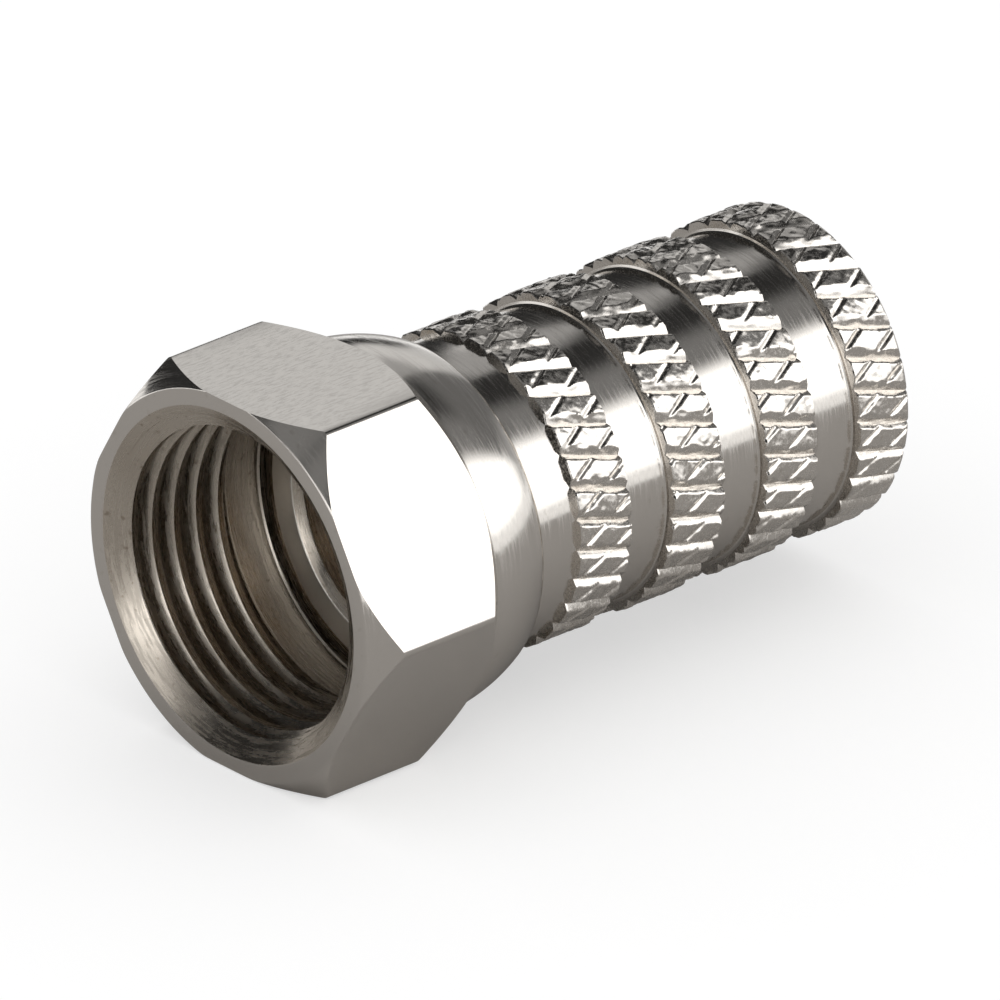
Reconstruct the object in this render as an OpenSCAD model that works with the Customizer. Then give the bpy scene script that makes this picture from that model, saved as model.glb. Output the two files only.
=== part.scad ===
// Screw-on F plug: a hexagonal coupling nut that spins on a knurled sleeve.
// Origin: on the axis, where the coupling thread begins. +X runs along the sleeve to the
// cable entry, the nut's mouth faces -X, and +Z is up with a flat of the hexagon facing down.

/* [Coupling nut] */
// Width across the flats of the hexagon
nut_af = 11; // [10.8:0.1:13]
// Length of the nut, from its mouth to its rear face
nut_length = 7.3; // [7:0.05:8.5]
// Length of the hexagon, from the mouth to where it blends into the shoulder
hex_length = 4.95; // [4:0.05:5.2]
// Width of the flat rim round the mouth
rim_width = 0.48; // [0.3:0.02:0.7]
// Wall of the shoulder round the flange's relief
shoulder_wall = 0.52; // [0.4:0.01:0.6]
// How far the crowned shoulder falls from the hexagon to the rear face
shoulder_drop = 0.61; // [0.4:0.01:0.65]
// Radius of the rounded rear edge of the shoulder
shoulder_edge_r = 0.6; // [0.3:0.05:0.7]

/* [Coupling thread] */
// Radius of the plain bore at the crests of the 3/8-32 thread
thread_bore_r = 4.38; // [4.2:0.01:4.45]
// Length of the threaded wall
thread_length = 3.3; // [2.5:0.05:3.8]
// Number of thread grooves in the wall, drawn as rings
thread_turns = 4; // [1:1:4]
// Distance from one thread groove to the next
thread_pitch = 0.794; // [0.7:0.002:0.8]
// Depth of the thread grooves
thread_depth = 0.42; // [0.2:0.01:0.45]
// Width of the flat crest between two thread grooves
thread_crest = 0.2; // [0.1:0.01:0.3]
// Width of the flat root of a thread groove
thread_root = 0.1; // [0.05:0.01:0.2]
// Width of the countersink at the mouth
mouth_width = 0.72; // [0.4:0.02:0.8]
// Depth of the countersink at the mouth
mouth_depth = 0.42; // [0.2:0.02:0.8]

/* [Sleeve] */
// Overall length, from the nut's mouth to the cable entry
overall_length = 20.85; // [20.3:0.05:26]
// Radius of the cable bore
cable_bore_r = 3.5; // [3.1:0.05:3.7]
// Width of the chamfers at the two ends of the cable bore
bore_chamfer = 0.25; // [0.1:0.05:0.4]
// How far the front flange reaches over the bore of the nut's lip
flange_lap = 0.39; // [0.2:0.01:0.45]
// Thickness of the flange
flange_thickness = 0.62; // [0.4:0.02:0.9]
// Wall thickness of the neck that the nut turns on
neck_wall = 0.6; // [0.4:0.05:0.7]
// Thickness of the nut's inward lip, which the flange traps
lip_thickness = 1; // [0.6:0.05:1.2]
// Length of the plain ring behind the nut
ring_length = 1.38; // [0.6:0.02:1.8]
// Height of the plain ring over the neck
ring_height = 0.26; // [0.15:0.01:0.4]
// Rounding of the sleeve's rear edge
end_rounding = 0.25; // [0.1:0.05:0.35]

/* [Knurl] */
// Number of knurled bands
bands = 4; // [2:1:4]
// Length of one smooth groove between two bands
groove_length = 1.56; // [1:0.02:1.8]
// Wall under the smooth grooves
groove_wall = 0.7; // [0.5:0.02:0.9]
// Height of the bands over the grooves
band_height = 0.38; // [0.35:0.01:0.5]
// Fillet where a groove runs up to the next band
groove_fillet = 0.12; // [0.06:0.01:0.14]
// Number of deep knurl cuts round a band
knurl_cuts = 30; // [20:1:32]
// Depth of the deep cuts
knurl_depth = 0.18; // [0.1:0.01:0.2]
// Width of the steep flank of a deep cut
knurl_steep = 0.16; // [0.1:0.01:0.22]
// Width of the slack flank of a deep cut
knurl_slack = 0.26; // [0.16:0.01:0.3]
// Slope of the deep cuts against the axis
knurl_slope = 17.7; // [0:0.1:20]
// Turn of the deep cuts about the axis, in degrees
knurl_turn = 0.8; // [0:0.1:12]
// Depth of the shallow cross cuts
cross_depth = 0.08; // [0.05:0.01:0.12]
// Width of the steep flank of a cross cut
cross_steep = 0.08; // [0.04:0.01:0.1]
// Width of the slack flank of a cross cut
cross_slack = 0.14; // [0.06:0.01:0.16]
// Slope of the cross cuts against the axis
cross_slope = 30; // [20:1:32]
// Where the cross cuts meet the middle of a land in the first band, from the band's middle
cross_shift = -0.37; // [-0.5:0.01:0.5]
// How much further along they meet it in each next band
cross_step = 0.3; // [0:0.01:0.3]

/* [Fits] */
// Radial clearance of the nut on the neck
running_clearance = 0.06; // [0.02:0.01:0.1]
// Axial clearance on each side of the nut's lip
axial_clearance = 0.06; // [0.03:0.01:0.12]
// Radial gap round the flange in the nut's relief
flange_gap = 0.31; // [0.15:0.01:0.4]

/* [Hidden] */
$fn = 96;

// Stations along the axis
mouth_x = -mouth_depth;
hex_end_x = mouth_x + hex_length;
nut_end_x = mouth_x + nut_length;
lip_x = nut_end_x - lip_thickness;
flange_back_x = lip_x - axial_clearance;
flange_x = flange_back_x - flange_thickness;
ring_x = nut_end_x + axial_clearance;
band_x = ring_x + ring_length;
end_x = mouth_x + overall_length;
band_length = (end_x - band_x - (bands - 1) * groove_length) / bands;
band_pitch = band_length + groove_length;

// Radii of the nut, each from the one inside it
neck_r = cable_bore_r + neck_wall;
lip_r = neck_r + running_clearance;
flange_r = lip_r + flange_lap;
relief_r = flange_r + flange_gap;
shoulder_r = relief_r + shoulder_wall;
mouth_r = thread_bore_r + mouth_width;
nut_face_r = mouth_r + rim_width;
hex_corner_r = nut_af / 2 / cos(30);

// Radii of the sleeve
ring_r = neck_r + ring_height;
groove_r = cable_bore_r + groove_wall;
band_r = groove_r + band_height;

// The knurl: turn from one band to the next, and from a deep cut's root to the middle of its land
band_turn = band_pitch * tan(knurl_slope) / band_r * 180 / PI;
knurl_angle = 360 / knurl_cuts;
land_turn = (knurl_angle + (knurl_steep - knurl_slack) / band_r * 180 / PI) / 2;

// The first thread groove leaves half a crest's width of wall in front of it
thread_x = thread_crest / 2 + thread_pitch / 2;
groove_half = (thread_pitch - thread_crest) / 2;

// The arc of the crowned shoulder
shoulder_length = nut_end_x - hex_end_x;
shoulder_crown_r = (shoulder_length * shoulder_length + shoulder_drop * shoulder_drop) / 2 / shoulder_drop;

// How far a cutting shape runs past the face that it cuts
over = 0.1;
// Points in each rounded corner of a turned profile
corner_steps = 8;

// Turns a profile drawn as [radius, station] points about the X axis.
module turned() {
    rotate([0, 90, 0])
    rotate_extrude()
    children();
}

// The outline of the nut's shoulder: a crowned arc that runs into a rounded rear edge.
function shoulder_outline() =
    let (
        crown_x = hex_end_x,
        crown_y = shoulder_r - shoulder_crown_r,
        reach = shoulder_crown_r - shoulder_edge_r,
        edge_x = nut_end_x - shoulder_edge_r,
        edge_y = crown_y + sqrt(reach * reach - (edge_x - crown_x) * (edge_x - crown_x)),
        blend = asin((edge_x - crown_x) / reach)
    )
    concat(
        [for (i = [0:corner_steps])
            let (a = blend * i / corner_steps)
            [crown_y + shoulder_crown_r * cos(a), crown_x + shoulder_crown_r * sin(a)]],
        [for (i = [1:corner_steps])
            let (a = blend + (90 - blend) * i / corner_steps)
            [edge_y + shoulder_edge_r * cos(a), edge_x + shoulder_edge_r * sin(a)]]
    );

// The hexagon, with its corners turned off at 45 degrees at both ends.
module hexagon() {
    front_chamfer = hex_corner_r - nut_face_r + over;
    rear_chamfer = hex_corner_r - shoulder_r + over;
    intersection() {
        translate([mouth_x, 0, 0])
        rotate([0, 90, 0])
        rotate([0, 0, 30])
        cylinder(h = hex_length, r = hex_corner_r, $fn = 6);
        turned()
        polygon([
            [0, mouth_x],
            [nut_face_r, mouth_x],
            [nut_face_r + front_chamfer, mouth_x + front_chamfer],
            [shoulder_r + rear_chamfer, hex_end_x - rear_chamfer],
            [shoulder_r, hex_end_x],
            [0, hex_end_x]
        ]);
    }
}

// The rounded shoulder behind the hexagon.
module shoulder() {
    root_x = hex_end_x - over;
    turned()
    polygon(concat(
        [[0, root_x], [shoulder_r, root_x]],
        shoulder_outline(),
        [[0, nut_end_x]]
    ));
}

// The bore of the nut: countersunk mouth, threaded wall, relief and the lip's bore.
module nut_bore() {
    turned()
    polygon([
        [0, mouth_x - over],
        [mouth_r + over * (mouth_r - thread_bore_r) / mouth_depth, mouth_x - over],
        [thread_bore_r, 0],
        [thread_bore_r, thread_length],
        [relief_r, thread_length + relief_r - thread_bore_r],
        [relief_r, lip_x],
        [lip_r, lip_x],
        [lip_r, nut_end_x + over],
        [0, nut_end_x + over]
    ]);
    for (i = [0:thread_turns - 1])
        thread_groove(thread_x + i * thread_pitch);
}

// One thread groove, as a ring.
module thread_groove(x) {
    turned()
    polygon([
        [0, x - groove_half],
        [thread_bore_r, x - groove_half],
        [thread_bore_r + thread_depth, x - thread_root / 2],
        [thread_bore_r + thread_depth, x + thread_root / 2],
        [thread_bore_r, x + groove_half],
        [0, x + groove_half]
    ]);
}

module coupling_nut() {
    color([0.79, 0.78, 0.76])
    difference() {
        union() {
            hexagon();
            shoulder();
        }
        nut_bore();
    }
}

// The sleeve before knurling: flange, neck, plain ring, bands and grooves, bored through.
module sleeve_blank() {
    turned()
    difference() {
        union() {
            translate([0, flange_x])
            square([flange_r, flange_thickness]);
            translate([0, flange_x])
            square([neck_r, ring_x + over - flange_x]);
            translate([0, ring_x])
            square([ring_r, ring_length + over]);
            translate([0, band_x])
            square([groove_r, end_x - band_x]);
            for (i = [0:bands - 2])
                translate([0, band_x + i * band_pitch])
                square([band_r, band_length]);
            for (i = [1:bands - 1])
                translate([groove_r, band_x + i * band_pitch])
                fillet();
            translate([0, end_x - band_length])
            last_band();
        }
        translate([-over, flange_x - over])
        square([cable_bore_r + over, end_x - flange_x + 2 * over]);
        polygon([
            [0, flange_x - over],
            [cable_bore_r + bore_chamfer + over, flange_x - over],
            [cable_bore_r, flange_x + bore_chamfer],
            [0, flange_x + bore_chamfer]
        ]);
        polygon([
            [0, end_x + over],
            [cable_bore_r + bore_chamfer + over, end_x + over],
            [cable_bore_r, end_x - bore_chamfer],
            [0, end_x - bore_chamfer]
        ]);
    }
}

// The profile of the fillet in front of a band, seen from where the band meets the groove's floor.
module fillet() {
    polygon(concat(
        [[-over, over], [-over, -groove_fillet]],
        [for (i = [0:corner_steps])
            let (a = 90 * i / corner_steps)
            [groove_fillet * (1 - cos(a)), -groove_fillet * (1 - sin(a))]],
        [[groove_fillet, over]]
    ));
}

// The profile of the last band, with its rear edge rounded.
module last_band() {
    polygon(concat(
        [[0, 0], [band_r, 0]],
        [for (i = [0:corner_steps])
            let (a = 90 * i / corner_steps)
            [band_r - end_rounding * (1 - cos(a)), band_length - end_rounding * (1 - sin(a))]],
        [[0, band_length]]
    ));
}

// One straight V cut across a band, on top of it, sloped against the axis.
module v_cut(steep, slack, depth, slope) {
    length = band_length + 2 * over + steep + slack;
    reach = 1 + over / depth;
    translate([0, 0, band_r])
    rotate([0, 0, slope])
    rotate([90, 0, 90])
    translate([0, 0, -length / 2])
    linear_extrude(height = length)
    polygon([
        [0, -depth],
        [slack * reach, -depth + depth * reach],
        [-steep * reach, -depth + depth * reach]
    ]);
}

// All the cuts of one band, the first band being number 0.
module knurl(band) {
    for (i = [0:knurl_cuts - 1])
        rotate([knurl_turn + band * band_turn + i * knurl_angle, 0, 0]) {
            v_cut(knurl_steep, knurl_slack, knurl_depth, -knurl_slope);
            cross_cut(cross_shift + band * cross_step);
        }
}

// One cross cut, which meets the middle of a land at x.
module cross_cut(x) {
    rotate([land_turn + x * tan(knurl_slope) / band_r * 180 / PI, 0, 0])
    translate([x, 0, 0])
    v_cut(cross_steep, cross_slack, cross_depth, cross_slope);
}

module sleeve() {
    color([0.72, 0.71, 0.69])
    difference() {
        sleeve_blank();
        for (i = [0:bands - 1])
            translate([band_x + i * band_pitch + band_length / 2, 0, 0])
            knurl(i);
    }
}

coupling_nut();
sleeve();
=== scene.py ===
"""Looks of a screw-on F plug: a plated coupling nut that spins on a knurled, turned sleeve."""

import logging
import math
from dataclasses import dataclass, field
from enum import Enum, IntEnum
from typing import Sequence

import bpy
import numpy as np
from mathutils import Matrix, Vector


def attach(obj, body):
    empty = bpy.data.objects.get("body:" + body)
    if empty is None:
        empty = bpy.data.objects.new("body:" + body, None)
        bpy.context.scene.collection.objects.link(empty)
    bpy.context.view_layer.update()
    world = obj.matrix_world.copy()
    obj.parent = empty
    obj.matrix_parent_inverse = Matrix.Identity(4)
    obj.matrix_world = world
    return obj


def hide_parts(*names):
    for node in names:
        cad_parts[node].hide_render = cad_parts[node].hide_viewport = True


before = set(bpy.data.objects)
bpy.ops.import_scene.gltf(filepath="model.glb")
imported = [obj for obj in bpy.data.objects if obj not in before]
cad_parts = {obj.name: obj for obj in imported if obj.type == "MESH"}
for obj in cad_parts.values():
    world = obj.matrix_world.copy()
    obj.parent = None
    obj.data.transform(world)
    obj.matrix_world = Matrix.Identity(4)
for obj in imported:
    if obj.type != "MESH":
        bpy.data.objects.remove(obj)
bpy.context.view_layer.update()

MM = 0.001
MERGE = 1e-7
LONGEST_EASE = 0.45

logging.basicConfig(level=logging.INFO, format="%(levelname)s %(message)s")
log = logging.getLogger("f_plug")


class Body(Enum):
    """The two bodies that the pieces ride on."""

    NUT = "nut"
    SLEEVE = "sleeve"


class Slot(Enum):
    """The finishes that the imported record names."""

    NUT = "nut_plating"
    SLEEVE = "sleeve_plating"


@dataclass(frozen=True)
class Corner:
    """A corner of a turned profile, in millimetres.

    Args:
        station: Place along the axis.
        radius: Distance from the axis.
        ease: Size of the rounding that breaks the corner.
    """

    station: float
    radius: float
    ease: float = 0.0


# ---------------------------------------------------------------- workshop


def deselect() -> None:
    """Leaves edit mode and deselects every object."""
    if bpy.context.object is not None and bpy.context.object.mode != "OBJECT":
        bpy.ops.object.mode_set(mode="OBJECT")
    bpy.ops.object.select_all(action="DESELECT")


def only(piece: bpy.types.Object) -> None:
    """Makes one piece the selected and active one.

    Args:
        piece: The piece.
    """
    deselect()
    piece.select_set(True)
    bpy.context.view_layer.objects.active = piece


def eased(corners: Sequence[Corner], steps: int = 3) -> list[tuple[float, float]]:
    """Breaks the corners of a closed profile.

    Args:
        corners: The profile's corners, in order.
        steps: Number of facets in each broken corner.

    Returns:
        The (station, radius) points of the eased profile.
    """
    points: list[tuple[float, float]] = []
    for i, corner in enumerate(corners):
        here = np.array((corner.station, corner.radius))
        if corner.ease <= 0.0:
            points.append((corner.station, corner.radius))
            continue
        before, after = corners[i - 1], corners[(i + 1) % len(corners)]
        to_before = np.array((before.station, before.radius)) - here
        to_after = np.array((after.station, after.radius)) - here
        reach = min(
            corner.ease,
            LONGEST_EASE * np.linalg.norm(to_before),
            LONGEST_EASE * np.linalg.norm(to_after),
        )
        start = here + to_before / np.linalg.norm(to_before) * reach
        end = here + to_after / np.linalg.norm(to_after) * reach
        for k in range(steps + 1):
            t = k / steps
            spot = (1 - t) ** 2 * start + 2 * t * (1 - t) * here + t**2 * end
            points.append((float(spot[0]), float(spot[1])))
    return points


class Lathe:
    """Draws a closed turned shape out of one ring, station by station along the X axis."""

    def __init__(self, name: str, segments: int) -> None:
        """Sets up the lathe.

        Args:
            name: The piece's name.
            segments: Number of sides of its rings.
        """
        self.name = name
        self.segments = segments

    def turn(self, profile: Sequence[tuple[float, float]]) -> bpy.types.Object:
        """Turns a closed profile.

        Args:
            profile: The (station, radius) points of the profile, in order.

        Returns:
            The new piece, with its faces outwards.
        """
        deselect()
        station, radius = profile[0]
        bpy.ops.mesh.primitive_circle_add(
            vertices=self.segments,
            radius=radius * MM,
            location=(station * MM, 0.0, 0.0),
            rotation=(0.0, math.pi / 2, 0.0),
        )
        piece = bpy.context.object
        piece.name = piece.data.name = self.name
        bpy.ops.object.transform_apply(location=True, rotation=True, scale=True)
        bpy.ops.object.mode_set(mode="EDIT")
        bpy.ops.mesh.select_mode(type="VERT")
        bpy.ops.mesh.select_all(action="SELECT")
        for next_station, next_radius in [*profile[1:], profile[0]]:
            bpy.ops.mesh.extrude_region_move(
                TRANSFORM_OT_translate={"value": ((next_station - station) * MM, 0.0, 0.0)}
            )
            ratio = next_radius / radius
            bpy.ops.transform.resize(
                value=(1.0, ratio, ratio), center_override=(next_station * MM, 0.0, 0.0)
            )
            station, radius = next_station, next_radius
        bpy.ops.mesh.select_all(action="SELECT")
        bpy.ops.mesh.remove_doubles(threshold=MERGE * 5)
        bpy.ops.mesh.normals_make_consistent(inside=False)
        bpy.ops.object.mode_set(mode="OBJECT")
        return piece


def cut(piece: bpy.types.Object, tool: bpy.types.Object, operation: str) -> None:
    """Cuts a piece with a tool, which is used up.

    Args:
        piece: The piece that is cut.
        tool: The shape that cuts it.
        operation: The boolean operation, such as DIFFERENCE.
    """
    only(piece)
    modifier = piece.modifiers.new("cut", "BOOLEAN")
    modifier.operation = operation
    modifier.object = tool
    modifier.solver = "EXACT"
    bpy.ops.object.modifier_apply(modifier=modifier.name)
    bpy.data.objects.remove(tool, do_unlink=True)


def smooth(piece: bpy.types.Object, degrees: float) -> None:
    """Shades a piece smooth across edges flatter than an angle.

    Args:
        piece: The piece.
        degrees: The angle.
    """
    only(piece)
    bpy.ops.object.shade_smooth_by_angle(angle=math.radians(degrees))


# ---------------------------------------------------------------- finishes


class Graph:
    """A short way to place and join the nodes of a material, world or group."""

    def __init__(self, tree: bpy.types.NodeTree) -> None:
        """Takes a node tree and empties it.

        Args:
            tree: The node tree.
        """
        self.tree = tree
        tree.nodes.clear()

    def add(self, kind: str, settings: dict | None = None, **inputs: object) -> bpy.types.Node:
        """Adds one node.

        Args:
            kind: The node's type name.
            settings: Values of the node's own properties.
            **inputs: Socket names, with _ for a space, and a value or a socket for each.

        Returns:
            The new node.
        """
        node = self.tree.nodes.new(kind)
        for key, value in (settings or {}).items():
            setattr(node, key, value)
        for key, value in inputs.items():
            self.feed(node, key.replace("_", " "), value)
        return node

    def feed(self, node: bpy.types.Node, key: str | int, value: object) -> None:
        """Feeds a node's input.

        Args:
            node: The node.
            key: The input's name or number.
            value: A value, or another node's socket.
        """
        socket = node.inputs[key]
        if isinstance(value, bpy.types.NodeSocket):
            self.tree.links.new(value, socket)
        else:
            socket.default_value = value

    def math(self, operation: str, *terms: object, clamp: bool = False) -> bpy.types.NodeSocket:
        """Adds a Math node.

        Args:
            operation: The node's operation.
            *terms: A value or a socket for each input.
            clamp: Whether the result is kept from 0 to 1.

        Returns:
            The node's result.
        """
        node = self.tree.nodes.new("ShaderNodeMath")
        node.operation = operation
        node.use_clamp = clamp
        for i, term in enumerate(terms):
            self.feed(node, i, term)
        return node.outputs[0]

    def ramp(
        self, value: object, low: object, high: object, start: float = 0.0, end: float = 1.0
    ) -> bpy.types.NodeSocket:
        """Adds a smooth step.

        Args:
            value: The socket that is read.
            low: Where the step begins.
            high: Where the step ends.
            start: The result below the step.
            end: The result above the step.

        Returns:
            The stepped value.
        """
        node = self.add("ShaderNodeMapRange", {"interpolation_type": "SMOOTHSTEP"})
        for key, item in zip(
            ("Value", "From Min", "From Max", "To Min", "To Max"), (value, low, high, start, end)
        ):
            self.feed(node, key, item)
        return node.outputs["Result"]

    def mix(self, factor: object, first: object, second: object) -> bpy.types.NodeSocket:
        """Adds a colour Mix node.

        Args:
            factor: The second colour's share.
            first: The first colour.
            second: The second colour.

        Returns:
            The mixed colour.
        """
        node = self.tree.nodes.new("ShaderNodeMix")
        node.data_type = "RGBA"
        for index, item in zip((0, 6, 7), (factor, first, second)):
            self.feed(node, index, item)
        return node.outputs[2]


def new_group(name: str, inputs: dict[str, tuple[str, float]], outputs: dict[str, str]) -> Graph:
    """Starts a shared shader group with named sockets.

    Args:
        name: The group's name.
        inputs: Socket type and default value by input name.
        outputs: Socket type by output name.

    Returns:
        The group's graph.
    """
    tree = bpy.data.node_groups.new(name, "ShaderNodeTree")
    graph = Graph(tree)
    for key, (kind, value) in inputs.items():
        socket = tree.interface.new_socket(key, in_out="INPUT", socket_type=kind)
        if kind == "NodeSocketFloat":
            socket.default_value = value
    for key, kind in outputs.items():
        tree.interface.new_socket(key, in_out="OUTPUT", socket_type=kind)
    return graph


@dataclass
class Effects:
    """The surface effects that the platings share, as shader groups."""

    groups: dict[str, bpy.types.NodeTree] = field(default_factory=dict)

    def build(self) -> None:
        """Builds every group once."""
        self.groups["marks"] = self._marks()
        self.groups["stain"] = self._stain()

    def _marks(self) -> bpy.types.NodeTree:
        """Fine tool marks: a noise that each plating scales along the three axes.

        Returns:
            The group, with the marks' height and a mask of the duller ones.
        """
        graph = new_group(
            "tool_marks",
            {"Vector": ("NodeSocketVector", 0.0), "Contrast": ("NodeSocketFloat", 1.0)},
            {"Height": "NodeSocketFloat", "Mask": "NodeSocketFloat"},
        )
        source = graph.add("NodeGroupInput")
        coarse = graph.add(
            "ShaderNodeTexNoise",
            Vector=source.outputs["Vector"],
            Scale=1.0,
            Detail=6.0,
            Roughness=0.7,
        )
        height = graph.math("MULTIPLY", coarse.outputs[0], source.outputs["Contrast"])
        mask = graph.ramp(coarse.outputs[0], 0.4, 0.65)
        sink = graph.add("NodeGroupOutput")
        graph.feed(sink, "Height", height)
        graph.feed(sink, "Mask", mask)
        return graph.tree

    def _stain(self) -> bpy.types.NodeTree:
        """Slow drift of the plating's tone, with small darker specks.

        Returns:
            The group, with the stain's share as its tone.
        """
        graph = new_group(
            "stain",
            {"Vector": ("NodeSocketVector", 0.0), "Amount": ("NodeSocketFloat", 0.1)},
            {"Tone": "NodeSocketFloat"},
        )
        source = graph.add("NodeGroupInput")
        slow = graph.add(
            "ShaderNodeTexNoise", Vector=source.outputs["Vector"], Scale=350.0, Detail=4.0
        )
        fine = graph.add(
            "ShaderNodeTexNoise", Vector=source.outputs["Vector"], Scale=4200.0, Detail=3.0
        )
        speck = graph.ramp(fine.outputs[0], 0.62, 0.74)
        both = graph.math("ADD", slow.outputs[0], speck)
        tone = graph.math("MULTIPLY", both, source.outputs["Amount"], clamp=True)
        sink = graph.add("NodeGroupOutput")
        graph.feed(sink, "Tone", tone)
        return graph.tree


@dataclass(frozen=True)
class Plating:
    """Nickel plate over metal that a tool has marked.

    Args:
        name: The material's name.
        bright: Colour of the clean plate.
        dull: Colour of the stained plate.
        stain: Share of stain.
        sheen: Lowest and highest roughness.
        marks: Tool marks per metre along each axis.
        depth: Depth of the tool marks, in metres.
        turn: Turn of the marks about each axis, in degrees.
    """

    name: str
    bright: tuple[float, float, float]
    dull: tuple[float, float, float]
    stain: float
    sheen: tuple[float, float]
    marks: tuple[float, float, float]
    depth: float
    turn: tuple[float, float, float] = (0.0, 0.0, 0.0)

    def build(self, effects: Effects) -> bpy.types.Material:
        """Builds the material.

        Args:
            effects: The shared shader groups.

        Returns:
            The new material.
        """
        material = bpy.data.materials.new(self.name)
        material.use_nodes = True
        graph = Graph(material.node_tree)
        place = graph.add("ShaderNodeTexCoord").outputs["Object"]
        lay = graph.add(
            "ShaderNodeMapping",
            Vector=place,
            Scale=self.marks,
            Rotation=tuple(math.radians(a) for a in self.turn),
        )
        marks = graph.add("ShaderNodeGroup", {"node_tree": effects.groups["marks"]})
        graph.feed(marks, "Vector", lay.outputs[0])
        stain = graph.add("ShaderNodeGroup", {"node_tree": effects.groups["stain"]})
        graph.feed(stain, "Vector", place)
        graph.feed(stain, "Amount", self.stain)
        colour = graph.mix(stain.outputs["Tone"], (*self.bright, 1.0), (*self.dull, 1.0))
        gloss = graph.ramp(marks.outputs["Mask"], 0.0, 1.0, *self.sheen)
        bump = graph.add("ShaderNodeBump", Distance=self.depth, Height=marks.outputs["Height"])
        shader = graph.add(
            "ShaderNodeBsdfPrincipled",
            Metallic=1.0,
            Base_Color=colour,
            Roughness=gloss,
            Normal=bump.outputs[0],
        )
        graph.add("ShaderNodeOutputMaterial", Surface=shader.outputs[0])
        return material


PLATE = (0.80, 0.765, 0.72)
DULL_PLATE = (0.46, 0.40, 0.33)
TURNED_PLATE = Plating(
    name="turned_plate",
    bright=PLATE,
    dull=DULL_PLATE,
    stain=0.16,
    sheen=(0.10, 0.26),
    marks=(26000.0, 500.0, 500.0),
    depth=1.2e-6,
)
GROUND_PLATE = Plating(
    name="ground_plate",
    bright=PLATE,
    dull=DULL_PLATE,
    stain=0.10,
    sheen=(0.10, 0.20),
    marks=(2500.0, 14000.0, 14000.0),
    depth=5e-7,
    turn=(0.0, 0.0, 12.0),
)
BORED_PLATE = Plating(
    name="bored_plate",
    bright=(0.72, 0.66, 0.58),
    dull=(0.30, 0.24, 0.18),
    stain=0.5,
    sheen=(0.2, 0.4),
    marks=(16000.0, 900.0, 900.0),
    depth=3e-6,
)
CUT_PLATE = Plating(
    name="cut_plate",
    bright=PLATE,
    dull=DULL_PLATE,
    stain=0.2,
    sheen=(0.12, 0.34),
    marks=(9000.0, 9000.0, 9000.0),
    depth=3e-6,
)
FACE_PLATE = Plating(
    name="faced_plate",
    bright=(0.90, 0.86, 0.80),
    dull=(0.60, 0.54, 0.46),
    stain=0.2,
    sheen=(0.4, 0.5),
    marks=(6000.0, 6000.0, 6000.0),
    depth=2e-6,
)


# ---------------------------------------------------------------- coupling nut


class NutFinish(IntEnum):
    """Material places on the nut."""

    TURNED = 0
    GROUND = 1
    BORED = 2


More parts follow.
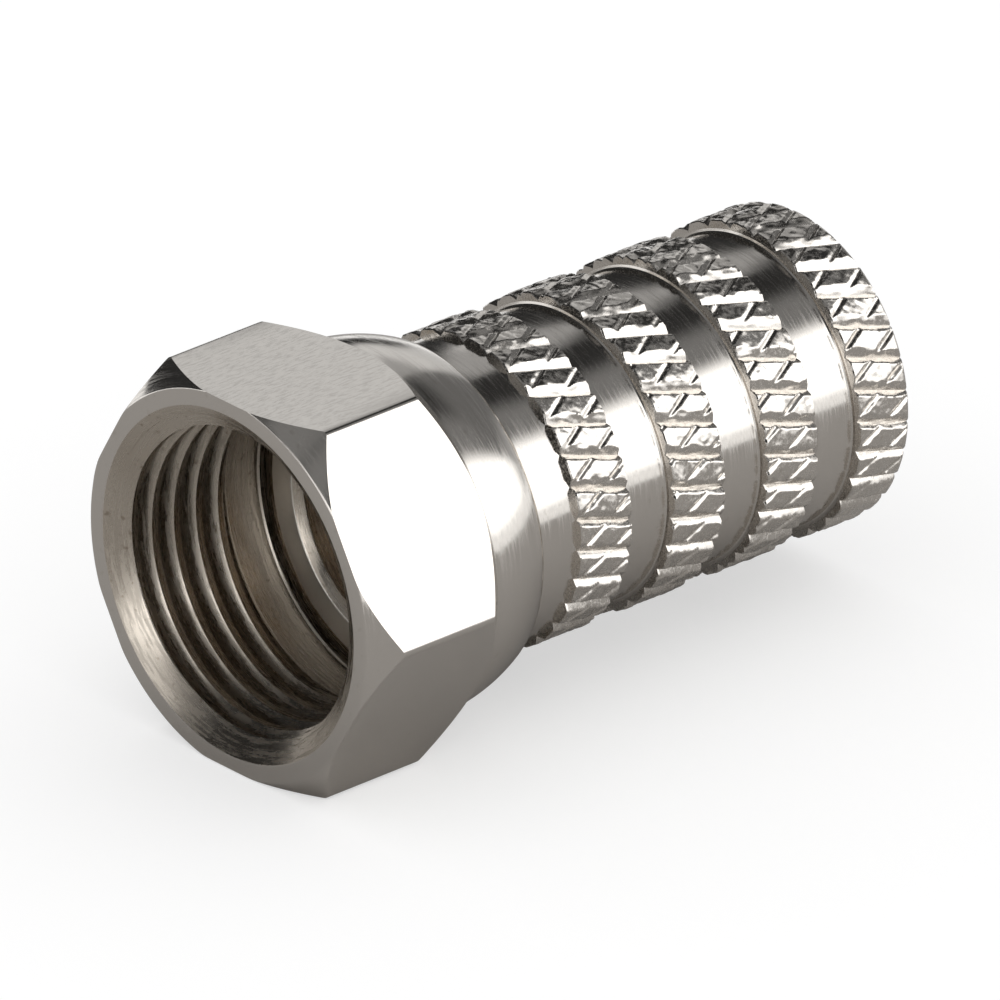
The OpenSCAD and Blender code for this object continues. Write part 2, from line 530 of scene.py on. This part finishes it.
@dataclass
class CouplingNut:
    """The hexagonal nut with its crowned shoulder, threaded mouth and trapping lip (millimetres)."""

    across_flats: float = 11.0
    mouth: float = -0.42
    hex_end: float = 4.53
    end: float = 6.88
    rim_radius: float = 5.58
    mouth_radius: float = 5.10
    bore_radius: float = 4.38
    wall_end: float = 3.30
    relief_radius: float = 4.86
    lip: float = 5.88
    lip_radius: float = 4.16
    shoulder_radius: float = 5.38
    crown_radius: float = 4.832
    edge_radius: float = 0.6
    edge_break: float = 0.12
    chamfer_reach: float = 6.55
    groove_start: float = 4.6
    groove_end: float = 5.0
    groove_depth: float = 0.05
    bar_length: float = 30.0
    flat_radius: float = 5.4
    pitch: float = 0.794
    root_radius: float = 4.80
    root_half: float = 0.05
    thread_start: float = -0.95
    thread_turns: int = 6
    thread_steps: int = 96
    thread_overlap: float = 0.08
    flank_angle: float = 30.0
    segments: int = 192
    crown_steps: int = 12
    edge_steps: int = 10

    def outline(self) -> list[Corner]:
        """The corners of the nut's turned blank.

        Returns:
            The closed profile, from the mouth over the outside and back through the bore.
        """
        crown_y = self.shoulder_radius - self.crown_radius
        span = self.crown_radius - self.edge_radius
        edge_x = self.end - self.edge_radius
        edge_y = crown_y + math.sqrt(span**2 - (edge_x - self.hex_end) ** 2)
        blend = math.asin((edge_x - self.hex_end) / span)
        crown = [
            Corner(
                self.hex_end + self.crown_radius * math.sin(blend * i / self.crown_steps),
                crown_y + self.crown_radius * math.cos(blend * i / self.crown_steps),
            )
            for i in range(1, self.crown_steps + 1)
        ]
        edge = [
            Corner(
                edge_x + self.edge_radius * math.sin(a), edge_y + self.edge_radius * math.cos(a)
            )
            for a in (
                blend + (math.pi / 2 - blend) * i / self.edge_steps
                for i in range(1, self.edge_steps + 1)
            )
        ]
        return [
            Corner(self.mouth, self.mouth_radius, 0.03),
            Corner(self.mouth, self.rim_radius, 0.05),
            Corner(self.mouth + self.chamfer_reach - self.rim_radius, self.chamfer_reach),
            Corner(self.hex_end - self.chamfer_reach + self.shoulder_radius, self.chamfer_reach),
            Corner(self.hex_end, self.shoulder_radius, 0.02),
            *crown,
            *edge,
            Corner(self.end, self.lip_radius, 0.06),
            Corner(self.lip, self.lip_radius, 0.05),
            Corner(self.lip, self.relief_radius, 0.05),
            Corner(self.groove_end + self.groove_depth, self.relief_radius),
            Corner(self.groove_end, self.relief_radius + self.groove_depth),
            Corner(self.groove_start, self.relief_radius + self.groove_depth),
            Corner(self.groove_start - self.groove_depth, self.relief_radius),
            Corner(self.wall_end + self.relief_radius - self.bore_radius, self.relief_radius, 0.04),
            Corner(self.wall_end, self.bore_radius, 0.03),
            Corner(0.0, self.bore_radius, 0.03),
        ]

    def hexagon(self) -> bpy.types.Object:
        """The long hexagonal bar that the blank is cut down to.

        Returns:
            The bar, with its long edges broken.
        """
        deselect()
        bpy.ops.mesh.primitive_cylinder_add(
            vertices=6,
            radius=self.across_flats / 2 / math.cos(math.pi / 6) * MM,
            depth=self.bar_length * MM,
            rotation=(0.0, math.pi / 2, 0.0),
        )
        bar = bpy.context.object
        bpy.ops.object.transform_apply(location=True, rotation=True, scale=True)
        bpy.ops.object.mode_set(mode="EDIT")
        bpy.ops.mesh.select_mode(type="EDGE")
        bpy.ops.mesh.select_all(action="DESELECT")
        bpy.ops.object.mode_set(mode="OBJECT")
        for edge in bar.data.edges:
            first, second = (bar.data.vertices[i].co for i in edge.vertices)
            edge.select = abs(first.x - second.x) > self.bar_length / 2 * MM
        bpy.ops.object.mode_set(mode="EDIT")
        bpy.ops.mesh.bevel(offset=self.edge_break * MM, segments=4, affect="EDGES")
        bpy.ops.object.mode_set(mode="OBJECT")
        return bar

    def thread(self) -> bpy.types.Object:
        """The helical tool that cuts the thread into the bore.

        Returns:
            A closed coil of a trapezoid, one pitch per turn.
        """
        deselect()
        inner = self.bore_radius - self.thread_overlap
        bpy.ops.mesh.primitive_plane_add(
            size=1.0,
            location=(self.thread_start * MM, 0.0, (inner + self.root_radius) / 2 * MM),
            rotation=(math.pi / 2, 0.0, 0.0),
        )
        coil = bpy.context.object
        depth = self.root_radius - inner
        inner_half = self.root_half + depth * math.tan(math.radians(self.flank_angle))
        coil.scale = (2 * inner_half * MM, depth * MM, 1.0)
        bpy.ops.object.transform_apply(location=True, rotation=True, scale=True)
        bpy.ops.object.mode_set(mode="EDIT")
        bpy.ops.mesh.select_all(action="DESELECT")
        bpy.ops.object.mode_set(mode="OBJECT")
        middle = (inner + self.root_radius) / 2 * MM
        for vertex in coil.data.vertices:
            vertex.select = vertex.co.z > middle
        bpy.ops.object.mode_set(mode="EDIT")
        bpy.ops.mesh.select_mode(type="VERT")
        bpy.ops.transform.resize(
            value=(self.root_half / inner_half, 1.0, 1.0),
            center_override=(self.thread_start * MM, 0.0, self.root_radius * MM),
        )
        bpy.ops.mesh.select_all(action="SELECT")
        bpy.ops.mesh.delete(type="ONLY_FACE")
        bpy.ops.object.mode_set(mode="OBJECT")
        screw = coil.modifiers.new("screw", "SCREW")
        screw.axis = "X"
        screw.steps = screw.render_steps = self.thread_steps
        screw.iterations = self.thread_turns
        screw.screw_offset = self.pitch * MM
        screw.use_merge_vertices = False
        bpy.ops.object.modifier_apply(modifier=screw.name)
        bpy.ops.object.mode_set(mode="EDIT")
        bpy.ops.mesh.select_all(action="SELECT")
        bpy.ops.mesh.fill_holes(sides=6)
        bpy.ops.mesh.select_all(action="SELECT")
        bpy.ops.mesh.normals_make_consistent(inside=False)
        bpy.ops.object.mode_set(mode="OBJECT")
        return coil

    def build(self) -> bpy.types.Object:
        """Turns, mills and threads the nut.

        Returns:
            The finished piece, bare of material.
        """
        piece = Lathe("coupling_nut_dressed", self.segments).turn(eased(self.outline()))
        cut(piece, self.hexagon(), "INTERSECT")
        cut(piece, self.thread(), "DIFFERENCE")
        smooth(piece, 28.0)
        return piece

    def dress(self, piece: bpy.types.Object, effects: Effects) -> None:
        """Gives the flats, the turned faces and the bore their finishes.

        Args:
            piece: The nut.
            effects: The shared shader groups.
        """
        for finish in (TURNED_PLATE, GROUND_PLATE, BORED_PLATE):
            piece.data.materials.append(finish.build(effects))
        for face in piece.data.polygons:
            centre, normal = face.center / MM, face.normal
            radius = math.hypot(centre.y, centre.z)
            outward = (normal.y * centre.y + normal.z * centre.z) / max(radius, 1e-9)
            face.material_index = NutFinish.TURNED
            if radius < self.mouth_radius and outward < 0.5 and centre.x > self.mouth + 0.01:
                face.material_index = NutFinish.BORED
            elif abs(normal.x) < 0.01 and centre.x < self.hex_end and radius > self.flat_radius:
                face.material_index = NutFinish.GROUND


# ---------------------------------------------------------------- sleeve


class SleeveFinish(IntEnum):
    """Material places on the sleeve."""

    TURNED = 0
    BORED = 1
    FACED = 2


@dataclass
class Sleeve:
    """The turned sleeve: flange, neck, ring, grooves and bore (millimetres)."""

    flange: float = 5.20
    flange_back: float = 5.82
    flange_radius: float = 4.55
    neck_radius: float = 4.10
    ring: float = 6.94
    ring_radius: float = 4.36
    groove_radius: float = 4.20
    bore_radius: float = 3.50
    bands: tuple[float, ...] = (8.32, 11.7375, 15.155, 18.5725)
    fillet: float = 0.12
    end: float = 20.43
    end_inset: float = 0.005
    mouth_chamfer: float = 0.25
    under_band: float = 0.1
    step_down: float = 0.3
    segments: int = 192

    def outline(self) -> list[Corner]:
        """The corners of the sleeve's turned body.

        Returns:
            The closed profile, from the flange over the outside and back through the bore.
        """
        corners = [
            Corner(self.flange, self.bore_radius + self.mouth_chamfer, 0.03),
            Corner(self.flange, self.flange_radius, 0.08),
            Corner(self.flange_back, self.flange_radius, 0.05),
            Corner(self.flange_back, self.neck_radius),
            Corner(self.ring, self.neck_radius),
            Corner(self.ring, self.ring_radius, 0.04),
            Corner(self.bands[0] + self.under_band, self.ring_radius),
        ]
        for i, start in enumerate(self.bands):
            if i:
                corners += [
                    Corner(start - self.fillet, self.groove_radius),
                    Corner(start - 0.45 * self.fillet, self.groove_radius + 0.16 * self.fillet),
                    Corner(start - 0.16 * self.fillet, self.groove_radius + 0.45 * self.fillet),
                    Corner(start, self.groove_radius + self.fillet),
                    Corner(start + self.under_band, self.groove_radius + self.fillet),
                ]
            corners.append(Corner(start + self.step_down, self.groove_radius))
        return corners + [
            Corner(self.end - self.end_inset, self.groove_radius),
            Corner(self.end - self.end_inset, self.bore_radius + self.mouth_chamfer, 0.03),
            Corner(self.end - self.mouth_chamfer, self.bore_radius, 0.03),
            Corner(self.flange + self.mouth_chamfer, self.bore_radius, 0.03),
        ]

    def build(self) -> bpy.types.Object:
        """Turns the sleeve's body.

        Returns:
            The finished piece, bare of material.
        """
        piece = Lathe("sleeve_body", self.segments).turn(eased(self.outline()))
        smooth(piece, 28.0)
        return piece

    def dress(self, piece: bpy.types.Object, effects: Effects) -> None:
        """Gives the outside, the bore and the flange's face their finishes.

        Args:
            piece: The sleeve's body.
            effects: The shared shader groups.
        """
        for finish in (TURNED_PLATE, BORED_PLATE, FACE_PLATE):
            piece.data.materials.append(finish.build(effects))
        for face in piece.data.polygons:
            centre, normal = face.center / MM, face.normal
            radius = math.hypot(centre.y, centre.z)
            face.material_index = SleeveFinish.TURNED
            if centre.x < self.flange + 0.02 and normal.x < -0.5:
                face.material_index = SleeveFinish.FACED
            elif radius < self.bore_radius + 0.2:
                face.material_index = SleeveFinish.BORED


@dataclass
class KnurledBand:
    """One raised band, cut by a deep slanting knurl and a shallow cross knurl (millimetres).

    Args:
        number: The band's number, 0 behind the ring.
        start: Station of the band's front wall.
        rear_rounding: Rounding of the rear edge.
    """

    number: int
    start: float
    rear_rounding: float = 0.05
    length: float = 1.8575
    gap: float = 1.56
    radius: float = 4.58
    root: float = 4.10
    cuts: int = 30
    turn: float = 0.8
    deep_slope: float = 17.7
    deep: float = 0.18
    steep_flank: float = 0.16
    slack_flank: float = 0.26
    cross_slope: float = 30.0
    cross_depth: float = 0.08
    cross_steep: float = 0.08
    cross_slack: float = 0.14
    cross_shift: float = -0.37
    cross_step: float = 0.3
    front_rounding: float = 0.04
    front_drop: float = 0.03
    ragged: float = 0.03
    torn: float = 0.010
    grit: float = 0.004
    sunk: float = 0.012
    land_depth: float = 0.09
    seed: int = 11
    columns: int = 960
    rows: int = 56

    def noise(
        self, rng: np.random.Generator, shape: tuple[int, int], across: float, along: float
    ) -> np.ndarray:
        """Smooth seeded noise that closes on itself round the band.

        Args:
            rng: The seeded source.
            shape: Rows and columns.
            across: Size of a blotch across the rows, in cells.
            along: Size of a blotch along the columns, in cells.

        Returns:
            The noise, with a spread of about 1.
        """
        grain = np.fft.fft2(rng.standard_normal(shape))
        row = np.fft.fftfreq(shape[0])[:, None] * across
        column = np.fft.fftfreq(shape[1])[None, :] * along
        soft = np.real(np.fft.ifft2(grain * np.exp(-10.0 * (row**2 + column**2))))
        return soft / soft.std()

    def relief(self, x: np.ndarray, u: np.ndarray) -> np.ndarray:
        """Height of the knurled face over the band's radius.

        Args:
            x: Distance from the band's middle along the axis.
            u: Distance round the band from a deep cut's root, taken along the deep cuts.

        Returns:
            The height, 0 on the lands and negative in the cuts.
        """
        rng = np.random.default_rng(self.seed + self.number)
        shape = x.shape
        period = 2 * math.pi * self.radius / self.cuts
        down = np.mod(-u, period)
        lean = math.cos(math.radians(self.deep_slope))
        ragged = self.ragged * self.noise(rng, shape, 4.0, 3.0)
        steep = down * lean / self.steep_flank
        slack = (period - down) * lean / np.clip(self.slack_flank + ragged, 0.12, 0.4)
        height = -self.deep * (1.0 - np.clip(np.minimum(steep, slack), 0.0, 1.0))
        slopes = math.tan(math.radians(self.deep_slope)) + math.tan(math.radians(self.cross_slope))
        land = -(period + self.steep_flank - self.slack_flank) / 2
        shift = self.cross_shift + self.number * self.cross_step
        off = np.mod(u - land - slopes * (x - shift) + period / 2, period) - period / 2
        off *= math.cos(math.radians(self.cross_slope))
        notch = np.where(off < 0, 1.0 + off / self.cross_steep, 1.0 - off / self.cross_slack)
        height = np.minimum(height, -self.cross_depth * np.maximum(notch, 0.0))
        torn = np.tanh(2.2 * self.noise(rng, shape, 5.0, 7.0)) * self.torn
        torn += self.grit * self.noise(rng, shape, 2.0, 2.5)
        on_land = np.clip(1.0 + height / self.land_depth, 0.0, 1.0)
        return height + (torn - self.sunk) * on_land

    def build(self) -> bpy.types.Object:
        """Wraps a fine grid into a closed ring and presses the knurl into it.

        Returns:
            The finished band, bare of material.
        """
        deselect()
        walls = ((0.5, 1), (1.0, 1), (1.0, 0), (1.0, -1), (0.5, -1), (0.0, -1))
        total = self.rows + 1 + len(walls)
        bpy.ops.mesh.primitive_grid_add(
            x_subdivisions=self.columns, y_subdivisions=total, size=1.0, location=(0.0, 0.0, 0.0)
        )
        piece = bpy.context.object
        piece.name = piece.data.name = f"knurled_band_{self.number + 1}"
        count = len(piece.data.vertices)
        flat = np.empty(count * 3)
        piece.data.vertices.foreach_get("co", flat)
        flat = flat.reshape(-1, 3)
        column = np.rint((flat[:, 0] - flat[:, 0].min()) * self.columns).astype(int)
        row = np.rint((flat[:, 1] - flat[:, 1].min()) * total).astype(int)
        middle = self.start + self.length / 2
        t = np.linspace(0.0, 1.0, self.rows + 1)
        x = (t - 0.5) * self.length
        around = np.arange(self.columns) * 2 * math.pi * self.radius / self.columns
        grid_x = np.repeat(x[:, None], self.columns, axis=1)
        grid_u = np.repeat(around[None, :], self.rows + 1, axis=0)
        radius = self.radius + self.relief(grid_x, grid_u)
        front = np.clip((x + self.length / 2) / self.front_rounding, 0.0, 1.0)
        radius -= (self.front_drop * (1.0 - np.sqrt(1.0 - (1.0 - front) ** 2)))[:, None]
        rear = np.clip((self.length / 2 - x) / self.rear_rounding, 0.0, 1.0)
        radius = np.minimum(
            radius,
            (self.radius - self.rear_rounding * (1.0 - np.sqrt(1.0 - (1.0 - rear) ** 2)))[:, None],
        )
        slope = math.tan(math.radians(self.deep_slope))
        band_turn = (self.length + self.gap) * slope / self.radius
        root = math.radians(90.0 - self.turn) - self.number * band_turn
        angle = (grid_u - slope * grid_x) / self.radius + root
        sections_x = [grid_x]
        sections_r = [radius]
        sections_a = [angle]
        for share, side in walls:
            edge = -1 if side >= 0 else 0
            rim = radius[edge]
            level = np.full(self.columns, self.root)
            sections_x.append(np.full((1, self.columns), side * self.length / 2))
            sections_r.append((rim + (level - rim) * share)[None, :])
            sections_a.append(angle[edge if side else self.rows // 2][None, :])
        all_x = np.vstack([*sections_x, sections_x[0][:1]])[: total + 1]
        all_r = np.vstack([*sections_r, sections_r[0][:1]])[: total + 1]
        all_a = np.vstack([*sections_a, sections_a[0][:1]])[: total + 1]
        c = column % self.columns
        px = all_x[row, c] + middle
        pr, pa = all_r[row, c], all_a[row, c]
        placed = np.stack((px, -pr * np.cos(pa), pr * np.sin(pa)), axis=1) * MM
        piece.data.vertices.foreach_set("co", placed.ravel())
        piece.data.update()
        bpy.ops.object.mode_set(mode="EDIT")
        bpy.ops.mesh.select_all(action="SELECT")
        bpy.ops.mesh.remove_doubles(threshold=MERGE)
        bpy.ops.mesh.normals_make_consistent(inside=False)
        bpy.ops.object.mode_set(mode="OBJECT")
        smooth(piece, 35.0)
        return piece


# ---------------------------------------------------------------- stage


class Sweep(Enum):
    """How the two pairs of edges of a studio panel are laid out."""

    ROLL = "roll"
    COMPASS = "compass"


@dataclass(frozen=True)
class Panel:
    """A soft box or a wall of the studio, as a window of directions.

    Args:
        sweep: ROLL is an angle about the plug's axis, from the right over the top, against the
            share of the direction along the axis. COMPASS is a bearing from the plug's rear,
            against the height over the horizon.
        low: Lower edge of the first pair, in degrees.
        high: Upper edge of the first pair.
        soft: Softness of the first pair.
        near: Lower edge of the second pair.
        far: Upper edge of the second pair.
        fade: Softness of the second pair.
        level: Brightness.
    """

    sweep: Sweep
    low: float
    high: float
    soft: float
    near: float
    far: float
    fade: float
    level: float


@dataclass
class Studio:
    """The floor, the light all round and the camera.

    The floor's size, the card's radius and the camera's distance are in metres. Every other
    length is in millimetres.
    """

    floor: float = -5.53
    floor_size: float = 2.0
    floor_glow: float = 0.52
    card_radius: float = 0.07
    card_lift: float = 0.01
    azimuth: float = -42.0
    elevation: float = 26.1
    target: tuple[float, float, float] = (9.46, 0.0, -0.67)
    distance: float = 0.9225
    sensor: float = 36.0
    lens: float = 1224.0
    gloom: float = 0.028
    panels: tuple[Panel, ...] = (
        Panel(Sweep.COMPASS, -40, 27, 4, -5, 43, 7, 0.15),
        Panel(Sweep.COMPASS, -16, 9, 6, -5, 13, 5, 0.42),
        Panel(Sweep.COMPASS, 27, 51, 2.5, 14, 56, 6, 0.38),
        Panel(Sweep.COMPASS, 27, 50.5, 2.5, 12, 30, 4, 0.68),
        Panel(Sweep.COMPASS, 27, 41, 3, -5, 15, 4, 0.62),
        Panel(Sweep.ROLL, 52, 80, 8, -0.3, 0.85, 0.1, 0.20),
        Panel(Sweep.ROLL, 1, 50, 9, -0.2, 0.975, 0.03, 2.0),
        Panel(Sweep.COMPASS, 150, 181, 8, 20, 70, 8, 0.20),
        Panel(Sweep.COMPASS, -181, -160, 8, 20, 70, 8, 0.20),
        Panel(Sweep.COMPASS, 160, 181, 6, -5, 20, 5, 1.0),
        Panel(Sweep.COMPASS, -181, -142, 6, -5, 21, 5, 1.7),
    )

    def world(self) -> None:
        """Builds the studio round the plug: white to the eye, soft boxes and walls to the metal."""
        world = bpy.data.worlds.new("studio")
        bpy.context.scene.world = world
        world.use_nodes = True
        world.cycles.sampling_method = "NONE"
        graph = Graph(world.node_tree)
        direction = graph.add("ShaderNodeTexCoord").outputs["Generated"]
        x, y, z = graph.add("ShaderNodeSeparateXYZ", Vector=direction).outputs[:3]
        turn = 180.0 / math.pi
        roll = graph.math("ARCTAN2", z, graph.math("MULTIPLY", y, -1.0))
        axes = {
            Sweep.ROLL: (graph.math("MULTIPLY", roll, turn), x),
            Sweep.COMPASS: (
                graph.math("MULTIPLY", graph.math("ARCTAN2", y, x), turn),
                graph.math("MULTIPLY", graph.math("ARCSINE", z), turn),
            ),
        }
        level: object = self.gloom
        for panel in self.panels:
            first, second = axes[panel.sweep]
            edges = (
                graph.ramp(first, panel.low - panel.soft, panel.low + panel.soft),
                graph.ramp(first, panel.high - panel.soft, panel.high + panel.soft, 1.0, 0.0),
                graph.ramp(second, panel.near - panel.fade, panel.near + panel.fade),
                graph.ramp(second, panel.far - panel.fade, panel.far + panel.fade, 1.0, 0.0),
            )
            mask = graph.math(
                "MULTIPLY",
                graph.math("MULTIPLY", edges[0], edges[1]),
                graph.math("MULTIPLY", edges[2], edges[3]),
            )
            kept = graph.math("MULTIPLY", graph.math("SUBTRACT", 1.0, mask), level)
            level = graph.math("ADD", kept, graph.math("MULTIPLY", mask, panel.level))
        gloss = graph.add("ShaderNodeLightPath").outputs["Is Glossy Ray"]
        shine = graph.math("MULTIPLY", level, gloss)
        plain = graph.math("SUBTRACT", 1.0, gloss)
        strength = graph.math("ADD", shine, plain)
        background = graph.add("ShaderNodeBackground", Color=(1, 1, 1, 1), Strength=strength)
        graph.add("ShaderNodeOutputWorld", Surface=background.outputs[0])

    def ground(self) -> None:
        """Lays the pale floor and the grey card that the metal sees below itself."""
        deselect()
        bpy.ops.mesh.primitive_plane_add(size=self.floor_size, location=(0.0, 0.0, self.floor * MM))
        floor = bpy.context.object
        floor.name = "floor"
        bpy.ops.object.transform_apply(location=True, rotation=True, scale=True)
        material = bpy.data.materials.new("pale_floor")
        material.use_nodes = True
        graph = Graph(material.node_tree)
        seen = graph.add("ShaderNodeLightPath").outputs
        matt = graph.add("ShaderNodeBsdfDiffuse", Color=(0.5, 0.5, 0.5, 1))
        plain = graph.math("MAXIMUM", seen["Is Camera Ray"], seen["Is Glossy Ray"])
        plain = graph.math("MAXIMUM", plain, seen["Is Transmission Ray"])
        strength = graph.math("MULTIPLY", plain, self.floor_glow)
        glow = graph.add("ShaderNodeEmission", Color=(1, 1, 1, 1), Strength=strength)
        both = graph.add("ShaderNodeAddShader")
        graph.feed(both, 0, matt.outputs[0])
        graph.feed(both, 1, glow.outputs[0])
        graph.add("ShaderNodeOutputMaterial", Surface=both.outputs[0])
        floor.data.materials.append(material)
        deselect()
        bpy.ops.mesh.primitive_circle_add(
            vertices=96,
            radius=self.card_radius,
            fill_type="NGON",
            location=(0.0, 0.0, (self.floor + self.card_lift) * MM),
        )
        card = bpy.context.object
        card.name = "grey_card"
        bpy.ops.object.transform_apply(location=True, rotation=True, scale=True)
        grey = bpy.data.materials.new("grey_card")
        grey.use_nodes = True
        graph = Graph(grey.node_tree)
        matt = graph.add("ShaderNodeBsdfDiffuse", Color=(0.34, 0.33, 0.32, 1))
        graph.add("ShaderNodeOutputMaterial", Surface=matt.outputs[0])
        card.data.materials.append(grey)
        card.visible_camera = card.visible_shadow = card.visible_diffuse = False

    def camera(self) -> None:
        """Sets the camera: a long lens from the front left, above the mouth."""
        data = bpy.data.cameras.new("camera")
        camera = bpy.data.objects.new("camera", data)
        bpy.context.scene.collection.objects.link(camera)
        azimuth, elevation = math.radians(self.azimuth), math.radians(self.elevation)
        back = Vector(
            (
                math.sin(azimuth) * math.cos(elevation),
                -math.cos(azimuth) * math.cos(elevation),
                math.sin(elevation),
            )
        )
        target = Vector(self.target) * MM
        data.sensor_width = self.sensor
        data.lens = self.lens
        data.clip_start, data.clip_end = 0.01, 100.0
        camera.location = target + back * self.distance
        camera.rotation_mode = "QUATERNION"
        camera.rotation_quaternion = (-back).to_track_quat("-Z", "Y")
        bpy.context.scene.camera = camera

    def build(self) -> None:
        """Builds the world, the floor and the camera, and sets the plain colour transform."""
        self.world()
        self.ground()
        self.camera()
        scene = bpy.context.scene
        scene.view_settings.view_transform = "Standard"


# ---------------------------------------------------------------- assembly


def place(piece: bpy.types.Object, body: Body, slot: Slot) -> None:
    """Lets a piece ride on its body and logs its face count.

    Args:
        piece: The finished piece.
        body: The body that carries it.
        slot: The record's finish. Not used.
    """
    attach(piece, body.value)
    log.info("%s: %d faces on %s", piece.name, len(piece.data.polygons), body.value)


def main() -> None:
    """Builds the stage, the nut, the sleeve and its bands."""
    effects = Effects()
    effects.build()
    Studio().build()
    nut = CouplingNut()
    nut_piece = nut.build()
    nut.dress(nut_piece, effects)
    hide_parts("coupling_nut")
    place(nut_piece, Body.NUT, Slot.NUT)
    sleeve = Sleeve()
    body = sleeve.build()
    sleeve.dress(body, effects)
    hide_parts("sleeve")
    place(body, Body.SLEEVE, Slot.SLEEVE)
    knurled = CUT_PLATE.build(effects)
    for number, start in enumerate(sleeve.bands):
        last = number == len(sleeve.bands) - 1
        band = KnurledBand(number, start, 0.25 if last else 0.05).build()
        band.data.materials.append(knurled)
        place(band, Body.SLEEVE, Slot.SLEEVE)


if __name__ == "__main__":
    main()
